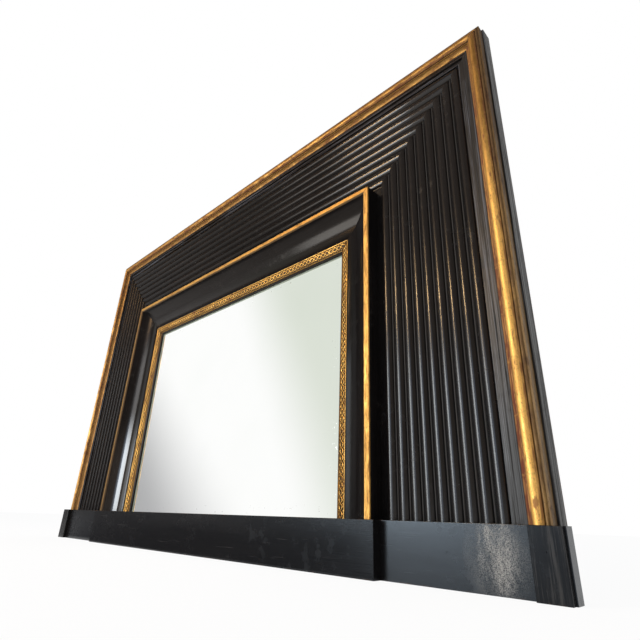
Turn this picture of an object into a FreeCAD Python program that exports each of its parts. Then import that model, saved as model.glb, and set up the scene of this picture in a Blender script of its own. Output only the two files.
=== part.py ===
"""Overmantel mirror: an ebonised, reeded and parcel-gilt frame that stands on a breakfront plinth.

Millimetres. +X is to the right, the front faces -Y and +Z is up. The origin is the middle of the base.
A section is drawn as points (inward, depth): inward from the frame's outer edge, depth from the very front.
"""
import math
import os

import FreeCAD
import Part

# Whole frame
FRAME_WIDTH = 1479.0
TOTAL_HEIGHT = 966.0
PLINTH_HEIGHT = 80.0

# Plinth
PLINTH_OVERHANG = 13.0
PLINTH_BOARD_THICKNESS = 20.0
END_BLOCK_WIDTH = 39.0
END_BLOCK_INSET = 2.5
END_BLOCK_THICKNESS = 8.0
CENTRE_BLOCK_STEP = 9.2
CORE_INSET = 2.0
SOFT_EDGE = 0.8

# Reeded boards
GROUND_SETBACK = 22.0
BOARD_THICKNESS = 26.0
LEDGE_WIDTH = 3.0
OUTER_STEP_WIDTH = 10.5
OUTER_STEP_RISE = 5.5
INNER_STEP_WIDTH = 9.5
INNER_STEP_RISE = 3.2
STEP_QUIRK = 2.6
REED_COUNT = 9
REED_WIDTH = 17.8
REED_RISE = 6.0
REED_GAP = 3.8
GAP_FILLET_WIDTH = 2.0
GAP_FILLET_RISE = 1.5
INNER_FLAT_WIDTH = 12.0
BOARD_UNDERLAP = 31.0

# Gilt torus moulding
OUTER_FILLET_WIDTH = 3.2
OUTER_FILLET_RISE = 14.0
BEAD_WIDTH = 5.0
BEAD_RISE = 14.0
TORUS_WIDTH = 15.6
TORUS_RISE = 13.0
LIST_WIDTH = 1.6
LIST_RISE = 14.0
GILT_COVE_WIDTH = 7.1
GILT_COVE_RISE = 6.0
GILT_COVE_SAG = 1.8

# Inner frame
INNER_RISE = 31.6
GILT_FILLET_WIDTH = 12.0
GILT_FILLET_THICKNESS = 3.0
GILT_FILLET_BEVEL = 1.8
COVE_WIDTH = 62.0
COVE_SAG = 9.5
COVE_FOOT_RISE = 0.5
QUIRK_WIDTH = 4.0
QUIRK_DROP = 1.5

# Carved slip and sight slip
LEAF_WIDTH = 20.0
LEAF_OUTER_DROP = 0.4
LEAF_INNER_DROP = 6.0
LEAF_SWELL = 1.6
LEAF_BACK_DROP = 9.5
SIGHT_WIDTH = 3.5
SIGHT_EDGE_DROP = 7.0
SIGHT_BEVEL_DROP = 2.2
PLATE_DROP = 13.5

# Mirror plate and what holds it
PLATE_THICKNESS = 5.0
PLATE_LAP = 14.5
BLOCK_LENGTH = 70.0
BLOCK_GRIP = 8.0
STILE_BLOCKS = 3
RAIL_BLOCKS = 4

# Back
CARCASS_THICKNESS = 16.0
CARCASS_WIDTH = 85.0
CARCASS_INSET = 14.5
CARCASS_FOOT = 12.0
BOTTOM_RAIL_WIDTH = 46.0
BACKBOARD_COUNT = 4
BACKBOARD_THICKNESS = 8.0
BACKBOARD_LAP = 22.0

# Hangers
HANGER_GAP = 38.0
HANGER_TOP_DROP = 150.0
STRAP_WIDTH = 24.0
STRAP_LENGTH = 62.0
STRAP_THICKNESS = 2.5
CRANK_RISE = 5.0
CRANK_LENGTH = 7.0
EYE_LENGTH = 30.0
EYE_HOLE = 12.0
SCREW_HOLE = 4.6
SCREW_SHANK = 4.0
SCREW_LENGTH = 17.0
SCREW_HEAD = 8.4
SCREW_HEAD_HEIGHT = 2.4
SCREW_HEAD_BEVEL = 1.0
SCREW_SPACING = 34.0
SCREW_END = 12.0

# Fixed ratios
HALF = 0.5
OVERSIZE = 100.0
SIDE_SHARES = {"left": -1.0, "right": 1.0}

# Places across the section, inward from the outer edge
OUT = FRAME_WIDTH * HALF
GILT_START = LEDGE_WIDTH
BEAD_START = GILT_START + OUTER_FILLET_WIDTH
TORUS_START = BEAD_START + BEAD_WIDTH
LIST_START = TORUS_START + TORUS_WIDTH
GILT_COVE_START = LIST_START + LIST_WIDTH
OUTER_STEP_START = GILT_COVE_START + GILT_COVE_WIDTH
INNER_STEP_START = OUTER_STEP_START + OUTER_STEP_WIDTH
QUIRK_START = INNER_STEP_START + INNER_STEP_WIDTH
REEDS_START = QUIRK_START + STEP_QUIRK
REED_PITCH = REED_WIDTH + REED_GAP
REEDS_END = REEDS_START + REED_COUNT * REED_PITCH - REED_GAP
INNER_START = REEDS_END + INNER_FLAT_WIDTH
BOARD_END = INNER_START + BOARD_UNDERLAP
COVE_START = INNER_START + GILT_FILLET_WIDTH
COVE_END = COVE_START + COVE_WIDTH
LEAF_START = COVE_END + QUIRK_WIDTH
LEAF_END = LEAF_START + LEAF_WIDTH
SIGHT_END = LEAF_END + SIGHT_WIDTH
PLATE_EDGE = SIGHT_END - PLATE_LAP

# Places in depth, back from the centre block's front
END_FRONT = CENTRE_BLOCK_STEP
PLINTH_FRONT = END_FRONT + END_BLOCK_THICKNESS
CORE_FRONT = PLINTH_FRONT + PLINTH_BOARD_THICKNESS
GROUND = PLINTH_FRONT + GROUND_SETBACK
BOARD_BACK = GROUND + BOARD_THICKNESS
INNER_FRONT = GROUND - INNER_RISE
COVE_FRONT = INNER_FRONT + GILT_FILLET_THICKNESS
COVE_FOOT = GROUND - COVE_FOOT_RISE
PLATE_FRONT = GROUND + PLATE_DROP
PLATE_BACK = PLATE_FRONT + PLATE_THICKNESS
DEPTH = BOARD_BACK + CARCASS_THICKNESS

# Places in width and height
MITRE_RISE = TOTAL_HEIGHT - OUT
HANGER_X = OUT - CARCASS_INSET - CARCASS_WIDTH - HANGER_GAP - STRAP_WIDTH * HALF
HANGER_FOOT = TOTAL_HEIGHT - HANGER_TOP_DROP - STRAP_LENGTH


class Outline:
    """A closed outline in the section plane, drawn point by point as (inward, depth)."""

    def __init__(self, *start):
        self.start = start
        self.last = start
        self.pieces = []

    def line(self, *end):
        """Add a straight piece unless the end is where the outline already is."""
        if end != self.last:
            self.pieces.append((self.last, None, end))
            self.last = end
        return self

    def arc(self, middle, end):
        """Add a round piece through a middle point."""
        self.pieces.append((self.last, middle, end))
        self.last = end
        return self

    def face(self, to_space):
        """Close the outline and return it as a face, with its points put in space by to_space."""
        self.line(*self.start)
        edges = []
        for first, middle, end in self.pieces:
            if middle is None:
                edges.append(Part.makeLine(to_space(*first), to_space(*end)))
            else:
                edges.append(Part.Arc(to_space(*first), to_space(*middle), to_space(*end)).toShape())
        return Part.Face(Part.Wire(edges))


def sagged(first, end, sag):
    """The point halfway between two section points, pushed back square to their line by sag."""
    run = end[0] - first[0]
    fall = end[1] - first[1]
    length = math.hypot(run, fall)
    inward = (first[0] + end[0]) * HALF - sag * fall / length
    depth = (first[1] + end[1]) * HALF + sag * run / length
    return inward, depth


def box(x, y, z):
    """A box from three (low, high) pairs, with y given as depth from the very front."""
    size = [high - low for low, high in (x, y, z)]
    corner = FreeCAD.Vector(x[0], y[0] - DEPTH * HALF, z[0])
    return Part.makeBox(*size, corner)


def mirrored(low, high, sign):
    """The x range from low to high on the right side, or its mirror image on the left."""
    ends = (low * sign, high * sign)
    return min(ends), max(ends)


def inside_height(inward):
    """The height of the point on the top rail that lies this far in from the outer edge."""
    return TOTAL_HEIGHT - inward


# Frame members

def mitre_region(corners):
    """A prism through the whole depth over an outline in the plane of the frame."""
    points = [FreeCAD.Vector(x, -DEPTH, z) for x, z in corners]
    wire = Part.makePolygon(points + points[:1])
    return Part.Face(wire).extrude(FreeCAD.Vector(0, DEPTH + DEPTH, 0))


def stile(outline, sign):
    """A standing member of the frame with its top end cut to the mitre."""
    def to_space(inward, depth):
        return FreeCAD.Vector(sign * (OUT - inward), depth - DEPTH * HALF, PLINTH_HEIGHT)

    reach = OUT + OVERSIZE
    prism = outline.face(to_space).extrude(FreeCAD.Vector(0, 0, reach + MITRE_RISE))
    region = mitre_region([(0, 0), (sign * reach, 0), (sign * reach, reach + MITRE_RISE), (0, MITRE_RISE)])
    return prism.common(region)


def rail(outline):
    """The top member of the frame with both ends cut to the mitre."""
    def to_space(inward, depth):
        return FreeCAD.Vector(-OUT - OVERSIZE, depth - DEPTH * HALF, inside_height(inward))

    reach = OUT + OVERSIZE
    prism = outline.face(to_space).extrude(FreeCAD.Vector(reach + reach, 0, 0))
    region = mitre_region([(0, MITRE_RISE), (reach, reach + MITRE_RISE), (-reach, reach + MITRE_RISE)])
    return prism.common(region)


def three_sides(name, draw):
    """The left, right and top members that share one section, as nodes."""
    members = {f"{name}_{side}": stile(draw(), sign) for side, sign in SIDE_SHARES.items()}
    members[f"{name}_top"] = rail(draw())
    return members


def draw_reeds(outline):
    """Add the row of reeds, with a thin fillet in each gap between two of them."""
    groove = (REED_GAP - GAP_FILLET_WIDTH) * HALF
    for index in range(REED_COUNT):
        start = REEDS_START + index * REED_PITCH
        end = start + REED_WIDTH
        outline.line(start, GROUND)
        outline.arc(((start + end) * HALF, GROUND - REED_RISE), (end, GROUND))
        if index < REED_COUNT - 1:
            outline.line(end + groove, GROUND)
            outline.line(end + groove, GROUND - GAP_FILLET_RISE)
            outline.line(end + groove + GAP_FILLET_WIDTH, GROUND - GAP_FILLET_RISE)
            outline.line(end + groove + GAP_FILLET_WIDTH, GROUND)


def draw_board():
    """Reeded board: outer ledge, two flat steps beside the torus, the reeds and the flat under the cove."""
    outline = Outline(0, BOARD_BACK)
    outline.line(0, GROUND + SOFT_EDGE).line(SOFT_EDGE, GROUND)
    outline.line(OUTER_STEP_START, GROUND).line(OUTER_STEP_START, GROUND - OUTER_STEP_RISE)
    outline.line(INNER_STEP_START, GROUND - OUTER_STEP_RISE)
    outline.line(INNER_STEP_START, GROUND - INNER_STEP_RISE)
    outline.line(QUIRK_START, GROUND - INNER_STEP_RISE).line(QUIRK_START, GROUND)
    draw_reeds(outline)
    return outline.line(BOARD_END, GROUND).line(BOARD_END, BOARD_BACK)


def draw_torus():
    """Gilt moulding: outer fillet, bead, half-round torus, list and a small cove down to the steps."""
    bead_depth = GROUND - BEAD_RISE
    torus_depth = GROUND - TORUS_RISE
    list_end = (GILT_COVE_START, GROUND - LIST_RISE)
    cove_end = (OUTER_STEP_START, GROUND - GILT_COVE_RISE)
    outline = Outline(GILT_START, GROUND)
    outline.line(GILT_START, GROUND - OUTER_FILLET_RISE).line(BEAD_START, GROUND - OUTER_FILLET_RISE)
    outline.line(BEAD_START, bead_depth)
    outline.arc((BEAD_START + BEAD_WIDTH * HALF, bead_depth - BEAD_WIDTH * HALF), (TORUS_START, bead_depth))
    outline.line(TORUS_START, torus_depth)
    outline.arc((TORUS_START + TORUS_WIDTH * HALF, torus_depth - TORUS_WIDTH * HALF), (LIST_START, torus_depth))
    outline.line(LIST_START, GROUND - LIST_RISE).line(*list_end)
    outline.arc(sagged(list_end, cove_end, GILT_COVE_SAG), cove_end)
    return outline.line(OUTER_STEP_START, GROUND)


def draw_cove():
    """Inner frame: an upright outer wall, a seat for the gilt fillet and the deep hollow to the slip."""
    start = (COVE_START, COVE_FRONT)
    foot = (COVE_END, COVE_FOOT)
    outline = Outline(INNER_START, GROUND)
    outline.line(INNER_START, COVE_FRONT).line(*start)
    outline.arc(sagged(start, foot, COVE_SAG), foot)
    outline.line(COVE_END, COVE_FOOT + QUIRK_DROP).line(LEAF_START, COVE_FOOT + QUIRK_DROP)
    outline.line(LEAF_START, PLATE_FRONT).line(BOARD_END, PLATE_FRONT)
    return outline.line(BOARD_END, GROUND)


def draw_gilt_fillet():
    """Flat gilt fillet on the front edge of the inner frame, bevelled towards the hollow."""
    outline = Outline(INNER_START, COVE_FRONT)
    outline.line(INNER_START, INNER_FRONT + SOFT_EDGE).line(INNER_START + SOFT_EDGE, INNER_FRONT)
    outline.line(COVE_START - GILT_FILLET_BEVEL, INNER_FRONT)
    return outline.line(COVE_START, INNER_FRONT + GILT_FILLET_BEVEL).line(COVE_START, COVE_FRONT)


def draw_leaf_slip():
    """Gilt slip with the carved band, as its plain swelling blank."""
    outer = (LEAF_START, GROUND + LEAF_OUTER_DROP)
    inner = (LEAF_END, GROUND + LEAF_INNER_DROP)
    outline = Outline(LEAF_START, GROUND + LEAF_BACK_DROP)
    outline.line(*outer).arc(sagged(outer, inner, -LEAF_SWELL), inner)
    return outline.line(LEAF_END, GROUND + LEAF_BACK_DROP)


def draw_sight_slip():
    """Dark slip under the carved one, with its thin bevel next to the glass."""
    back = GROUND + LEAF_BACK_DROP
    edge = GROUND + SIGHT_EDGE_DROP
    outline = Outline(LEAF_START, PLATE_FRONT)
    outline.line(LEAF_START, back).line(LEAF_END, back).line(LEAF_END, edge)
    return outline.line(SIGHT_END, edge + SIGHT_BEVEL_DROP).line(SIGHT_END, PLATE_FRONT)


# Plinth

def softened(shape, keep):
    """Round the edges of a box that the test function keeps."""
    edges = [edge for edge in shape.Edges if keep(edge.BoundBox)]
    return shape.makeFillet(SOFT_EDGE, edges)


def front_edges(depth, height):
    """A test for the edges that lie on a box's front face, apart from the one at the foot."""
    face_y = depth - DEPTH * HALF + SOFT_EDGE * HALF

    def keep(bounds):
        return bounds.YMax < face_y and bounds.ZMax > height * HALF
    return keep


def plinth():
    """Full-width board with a centre block and two end blocks on its face, and a core behind it."""
    height = (0, PLINTH_HEIGHT)
    board_half = OUT + PLINTH_OVERHANG
    centre_half = OUT - REEDS_END
    core_half = OUT - CORE_INSET
    board = box((-board_half, board_half), (PLINTH_FRONT, CORE_FRONT), height)
    centre = box((-centre_half, centre_half), (0, PLINTH_FRONT), height)
    nodes = {
        "plinth_board": softened(board, front_edges(PLINTH_FRONT, PLINTH_HEIGHT)),
        "plinth_centre_block": softened(centre, front_edges(0, PLINTH_HEIGHT)),
        "plinth_core": box((-core_half, core_half), (CORE_FRONT, BOARD_BACK), height),
    }
    for side, sign in SIDE_SHARES.items():
        outer = board_half - END_BLOCK_INSET
        span = mirrored(outer - END_BLOCK_WIDTH, outer, sign)
        block = box(span, (END_FRONT, PLINTH_FRONT), height)
        nodes[f"plinth_end_block_{side}"] = softened(block, front_edges(END_FRONT, PLINTH_HEIGHT))
    return nodes


# Mirror plate and its blocks

def mirror_plate():
    """The plate stands on the plinth behind the sight slip."""
    half_width = OUT - PLATE_EDGE
    height = (PLINTH_HEIGHT, inside_height(PLATE_EDGE))
    return box((-half_width, half_width), (PLATE_FRONT, PLATE_BACK), height)


def spread(low, high, count, length):
    """Evenly spaced (low, high) pairs of one length inside a range."""
    pitch = (high - low) / count
    middles = [low + (index + HALF) * pitch for index in range(count)]
    return [(middle - length * HALF, middle + length * HALF) for middle in middles]


def plate_blocks():
    """Softwood blocks that hold the plate's edge, fitted between the boards, the plate and the back."""
    depth = (PLATE_BACK, BOARD_BACK)
    board_x = OUT - BOARD_END
    grip_x = OUT - PLATE_EDGE - BLOCK_GRIP
    board_z = inside_height(BOARD_END)
    grip_z = inside_height(PLATE_EDGE) - BLOCK_GRIP
    nodes = {}
    for side, sign in SIDE_SHARES.items():
        for index, span in enumerate(spread(PLINTH_HEIGHT, grip_z, STILE_BLOCKS, BLOCK_LENGTH)):
            nodes[f"plate_block_{side}_{index + 1}"] = box(mirrored(grip_x, board_x, sign), depth, span)
    for index, span in enumerate(spread(-grip_x, grip_x, RAIL_BLOCKS, BLOCK_LENGTH)):
        nodes[f"plate_block_top_{index + 1}"] = box(span, depth, (grip_z, board_z))
    return nodes


# Back

def backboards():
    """Upright boards, edge to edge, over the opening at the back."""
    half_width = OUT - BOARD_END + BACKBOARD_LAP
    pitch = (half_width + half_width) / BACKBOARD_COUNT
    depth = (BOARD_BACK, BOARD_BACK + BACKBOARD_THICKNESS)
    height = (CARCASS_FOOT + BOTTOM_RAIL_WIDTH, inside_height(BOARD_END) + BACKBOARD_LAP)
    nodes = {}
    for index in range(BACKBOARD_COUNT):
        low = -half_width + index * pitch
        nodes[f"backboard_{index + 1}"] = box((low, low + pitch), depth, height)
    return nodes


def carcass():
    """Pine back frame, set in from the outer edge: two stiles, a top rail and a bottom rail."""
    depth = (BOARD_BACK, DEPTH)
    outer = OUT - CARCASS_INSET
    inner = outer - CARCASS_WIDTH
    top = TOTAL_HEIGHT - CARCASS_INSET
    nodes = {
        "carcass_top_rail": box((-inner, inner), depth, (top - CARCASS_WIDTH, top)),
        "carcass_bottom_rail": box((-inner, inner), depth, (CARCASS_FOOT, CARCASS_FOOT + BOTTOM_RAIL_WIDTH)),
    }
    for side, sign in SIDE_SHARES.items():
        nodes[f"carcass_stile_{side}"] = box(mirrored(inner, outer, sign), depth, (CARCASS_FOOT, top))
    return nodes


# Hangers

def screw_places(sign):
    """The x and z of the two screws of one hanger."""
    return [(sign * HANGER_X, HANGER_FOOT + SCREW_END + step) for step in (0, SCREW_SPACING)]


def rod(diameter, x, z, depth):
    """A cylinder along the depth, from one depth to another."""
    base = FreeCAD.Vector(x, depth[0] - DEPTH * HALF, z)
    return Part.makeCylinder(diameter * HALF, depth[1] - depth[0], base, FreeCAD.Vector(0, 1, 0))


def strap_side(x):
    """The bent strip of a hanger, seen from the side: flat strap, crank and raised eye."""
    foot = HANGER_FOOT
    bend = foot + STRAP_LENGTH
    eye = bend + CRANK_LENGTH
    tip = eye + EYE_LENGTH
    low = BOARD_BACK
    high = BOARD_BACK + CRANK_RISE
    thick = STRAP_THICKNESS
    outline = [(low, foot), (low, bend), (high, eye), (high, tip), (high + thick, tip)]
    outline += [(high + thick, eye), (low + thick, bend), (low + thick, foot)]
    points = [FreeCAD.Vector(x - STRAP_WIDTH * HALF, depth - DEPTH * HALF, z) for depth, z in outline]
    wire = Part.makePolygon(points + points[:1])
    return Part.Face(wire).extrude(FreeCAD.Vector(STRAP_WIDTH, 0, 0))


def strap_front(x):
    """The hanger's outline seen from behind, square at the foot and round at the eye."""
    foot = HANGER_FOOT
    eye_z = foot + STRAP_LENGTH + CRANK_LENGTH + EYE_LENGTH - STRAP_WIDTH * HALF
    span = (x - STRAP_WIDTH * HALF, x + STRAP_WIDTH * HALF)
    body = box(span, (0, DEPTH), (foot, eye_z))
    return body.fuse(rod(STRAP_WIDTH, x, eye_z, (0, DEPTH))).cut(rod(EYE_HOLE, x, eye_z, (0, DEPTH)))


def hanger_strap(sign):
    """One cranked brass hanging strap with its eye and its two screw holes."""
    x = sign * HANGER_X
    strap = strap_side(x).common(strap_front(x))
    for screw_x, screw_z in screw_places(sign):
        strap = strap.cut(rod(SCREW_HOLE, screw_x, screw_z, (0, DEPTH)))
    return strap


def hanger_screw(x, z):
    """A round-headed screw: shank into the board and a bevelled head on the strap."""
    seat = BOARD_BACK + STRAP_THICKNESS
    head = rod(SCREW_HEAD, x, z, (seat, seat + SCREW_HEAD_HEIGHT))
    rim = [edge for edge in head.Edges if edge.BoundBox.YMin > seat + SCREW_HEAD_HEIGHT * HALF - DEPTH * HALF]
    head = head.makeChamfer(SCREW_HEAD_BEVEL, rim)
    return head.fuse(rod(SCREW_SHANK, x, z, (seat - SCREW_LENGTH, seat))).removeSplitter()


def hangers():
    """Both straps and their screws."""
    nodes = {}
    for side, sign in SIDE_SHARES.items():
        nodes[f"hanger_strap_{side}"] = hanger_strap(sign)
        for index, (x, z) in enumerate(screw_places(sign)):
            nodes[f"hanger_screw_{side}_{index + 1}"] = hanger_screw(x, z)
    return nodes


def drilled(board):
    """A board with the pilot holes for the hangers' screws."""
    bottom = BOARD_BACK + STRAP_THICKNESS - SCREW_LENGTH
    for sign in SIDE_SHARES.values():
        for x, z in screw_places(sign):
            board = board.cut(rod(SCREW_SHANK, x, z, (bottom, BOARD_BACK + OVERSIZE)))
    return board


# Assembly

def assembly():
    """Every separate piece of the mirror, by node name."""
    nodes = {name: drilled(board) for name, board in three_sides("reeded_board", draw_board).items()}
    nodes.update(three_sides("gilt_torus", draw_torus))
    nodes.update(three_sides("cove", draw_cove))
    nodes.update(three_sides("gilt_fillet", draw_gilt_fillet))
    nodes.update(three_sides("leaf_slip", draw_leaf_slip))
    nodes.update(three_sides("sight_slip", draw_sight_slip))
    nodes.update(plinth())
    nodes["mirror_plate"] = mirror_plate()
    nodes.update(plate_blocks())
    nodes.update(backboards())
    nodes.update(carcass())
    nodes.update(hangers())
    return nodes


def main():
    """Write one STEP file for each node."""
    os.makedirs("parts", exist_ok=True)
    for name, shape in assembly().items():
        solid = shape.Solids[0] if len(shape.Solids) == 1 else shape
        solid.exportStep(f"parts/{name}.step")


main()
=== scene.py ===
"""Ebonised and parcel-gilt overmantel mirror: its finishes, its carved slips and a plain studio.

The file is laid out as an add-on. Metres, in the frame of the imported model: +X to the right, the
front faces -Y, +Z is up.
"""
import math

import bpy
from mathutils import Matrix, Vector


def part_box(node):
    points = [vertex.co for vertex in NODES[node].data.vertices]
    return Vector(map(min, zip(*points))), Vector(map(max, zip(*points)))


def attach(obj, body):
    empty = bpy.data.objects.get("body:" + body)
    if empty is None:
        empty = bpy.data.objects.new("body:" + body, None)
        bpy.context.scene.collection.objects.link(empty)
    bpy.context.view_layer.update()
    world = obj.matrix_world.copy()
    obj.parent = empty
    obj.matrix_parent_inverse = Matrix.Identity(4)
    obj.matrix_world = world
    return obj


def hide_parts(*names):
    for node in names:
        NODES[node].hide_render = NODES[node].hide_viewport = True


bl_info = {
    "name": "Overmantel mirror",
    "version": (1, 0, 0),
    "blender": (4, 5, 0),
    "location": "View3D > Sidebar > Mirror",
    "description": "Finishes, carves and lights an ebonised overmantel mirror",
    "category": "Object",
}

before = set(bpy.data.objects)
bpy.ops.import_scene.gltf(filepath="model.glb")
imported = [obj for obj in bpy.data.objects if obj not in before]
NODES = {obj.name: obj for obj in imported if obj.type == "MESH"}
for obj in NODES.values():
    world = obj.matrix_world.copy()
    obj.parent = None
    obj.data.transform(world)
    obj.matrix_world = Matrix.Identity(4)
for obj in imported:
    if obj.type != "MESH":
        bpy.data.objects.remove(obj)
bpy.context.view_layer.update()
BODY = "root"
MM = 0.001

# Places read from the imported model
LEAF_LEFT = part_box("leaf_slip_left")
LEAF_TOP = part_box("leaf_slip_top")
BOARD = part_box("reeded_board_right")
BOARD_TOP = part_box("reeded_board_top")
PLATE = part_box("mirror_plate")
SIGHT_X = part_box("sight_slip_left")[1][0]
SIGHT_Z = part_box("sight_slip_top")[0][2]
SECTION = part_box("plinth_board")
CENTRE_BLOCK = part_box("plinth_centre_block")
PLINTH_TOP = SECTION[1][2]
MITRE_RISE = BOARD_TOP[1][2] - BOARD_TOP[1][0]
REED_CROWN = BOARD[0][1]
BOARD_BACK = BOARD[1][1]

SIDES = {"left": -1.0, "right": 1.0}
RUNS = {"left": "Z", "right": "Z", "top": "X"}

# Places across the frame, in from its outer edge
OUTER_LIST = 6.2 * MM
BEAD = 11.2 * MM
TORUS_FOOT = 26.8 * MM
INNER_LIST = 28.4 * MM
GILT_END = 35.5 * MM
STEP = 46.0 * MM
FIRST_REED = 58.1 * MM
REED_PITCH = 21.6 * MM
REED_SHARE = 17.8 / 21.6
LAST_REED = 248.7 * MM
FLAT_FILLET = 260.7 * MM

# Section of a leaf slip
SLIP_DROP = 5.6 * MM
SLIP_SWELL = 1.6 * MM
RIM_STEPS = 40

# The carved band: middles and half widths, across from -1 on its inner edge to 1 on its outer edge
OUTER_RIM = (0.86, 0.15)
INNER_RIM = (-0.88, 0.12)
RIBBON_MIDDLE = 0.02
RIBBON_SWING = 0.44
RIBBON_HALF = 0.24
RIBBON_NOTCH = 0.32
RIBBON_LOW = 0.82
RIBBON_DIP = 0.18
EYE_HALF = 0.13
EYE_HEIGHT = 0.6
TIP_PLACE = 0.56
TIP_HALF = 0.17
TIP_HEIGHT = 0.7

# Nails: (radius, height) of the head's rings in millimetres, and places on a backboard
NAIL_RINGS = ((3.2, 0.0), (3.0, 0.5), (1.5, 1.2), (0.3, 1.5))
NAIL_SIDES = 7
NAIL_INSET = 11 * MM
NAIL_SHARES = (0.12, 0.5, 0.88)

# Floor and dark card
FLOOR_REACH = 12.0
FLOOR_GLOW = 0.92
CARD_LEFT = -2.0
CARD_RIGHT = 0.15
CARD_FAR = -0.45
CARD_GAP = 4 * MM
CARD_LIFT = 2 * MM

# The room that polish and glass mirror, by direction: leftward and upward shares of the way ahead
WALL_LEFT = (0.82, 2.10)
WALL_RISE = (-0.06, 0.86)
PANEL_LEFT = (-0.1, 0.29)
PANEL_RISE = (0.0, 0.38)

# Colours of the room
WHITE = (1.0, 1.0, 1.0)
WALL_GREEN = (0.72, 0.76, 0.685)
WALL_SHADE = (0.44, 0.44, 0.45)
ROOM_WARM = (0.26, 0.21, 0.175)
ROOM_DARK = (0.05, 0.04, 0.034)
PANEL_LIGHT = (1.4, 1.75, 2.2)
AMBIENT = (0.95, 0.97, 1.0)
AMBIENT_STRENGTH = 0.72

# Colours of wear and dirt, and of painted shade and sheen
CRACKS_AND_SHADE = (0.001, 0.001, 0.001)
DUST = (0.05, 0.047, 0.045)
FLAT_SHEEN_STREAK = (0.078, 0.084, 0.10)
SIDE_STREAK = (0.28, 0.28, 0.27)
BARE_WOOD = (0.17, 0.105, 0.055)
BARE_GRAIN = (0.095, 0.055, 0.028)
BARE_STAIN = (0.05, 0.032, 0.02)
SCRATCH = (0.09, 0.08, 0.075)
END_STREAK = (0.065, 0.06, 0.055)
SCUFF = (0.17, 0.163, 0.15)
SCUFF_CORE = (0.36, 0.345, 0.32)
DENT = (0.0015, 0.001, 0.001)
GRIME = (0.13, 0.07, 0.018)
GESSO_AND_SHADE = (0.016, 0.008, 0.004)

# Metallic share of clean gold leaf
LEAF_METAL = 0.96

# Colours of the plate, with a painted shade band along its edge
CLEAR = (0.985, 0.99, 0.98)
HAZE = (0.965, 0.975, 0.96)
PAINTED_EDGE_SHADE = (0.40, 0.45, 0.38)
FOXING = (0.16, 0.14, 0.11)

# Colours of the pine, with grime and painted shade by the joints
PINE = (0.27, 0.165, 0.082)
PINE_BAND = (0.15, 0.078, 0.034)
PINE_FIBRE = (0.19, 0.115, 0.06)
PINE_KNOT = (0.055, 0.026, 0.012)
PINE_STAIN = (0.075, 0.05, 0.034)
SEAM_DIRT_AND_SHADE = (0.04, 0.026, 0.017)
SEAM_GAP = (0.004, 0.003, 0.002)


# Shader expressions

class Wire:
    """An output socket that takes part in Python expressions; each operation adds its Math node."""

    def __init__(self, bench, socket):
        self.bench = bench
        self.socket = socket

    def math(self, operation, *values):
        """A Math node on one or two values."""
        return self.bench.node("ShaderNodeMath", {"operation": operation}, dict(enumerate(values)))

    def __add__(self, other):
        return self.math("ADD", self, other)

    def __radd__(self, other):
        return self.math("ADD", other, self)

    def __sub__(self, other):
        return self.math("SUBTRACT", self, other)

    def __rsub__(self, other):
        return self.math("SUBTRACT", other, self)

    def __mul__(self, other):
        return self.math("MULTIPLY", self, other)

    def __rmul__(self, other):
        return self.math("MULTIPLY", other, self)

    def __truediv__(self, other):
        return self.math("DIVIDE", self, other)

    def __abs__(self):
        return self.math("ABSOLUTE", self)

    def larger(self, other):
        """The larger of two values."""
        return self.math("MAXIMUM", self, other)

    def part(self):
        """What is left of the value above its whole number."""
        return self.math("FRACT", self)

    def whole(self):
        """The whole number at or below the value."""
        return self.math("FLOOR", self)

    def band(self, low, high, soft):
        """1 between two values, 0 outside them, with soft edges."""
        return self.rise(low - soft, low + soft) * self.rise(high + soft, high - soft)

    def rise(self, low, high):
        """A smooth step: 0 at low, 1 at high, which may lie either way round."""
        settings = {"interpolation_type": "SMOOTHSTEP"}
        if low < high:
            return self.bench.node("ShaderNodeMapRange", settings, {0: self, 1: low, 2: high})
        return 1 - self.bench.node("ShaderNodeMapRange", settings, {0: self, 1: high, 2: low})


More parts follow.
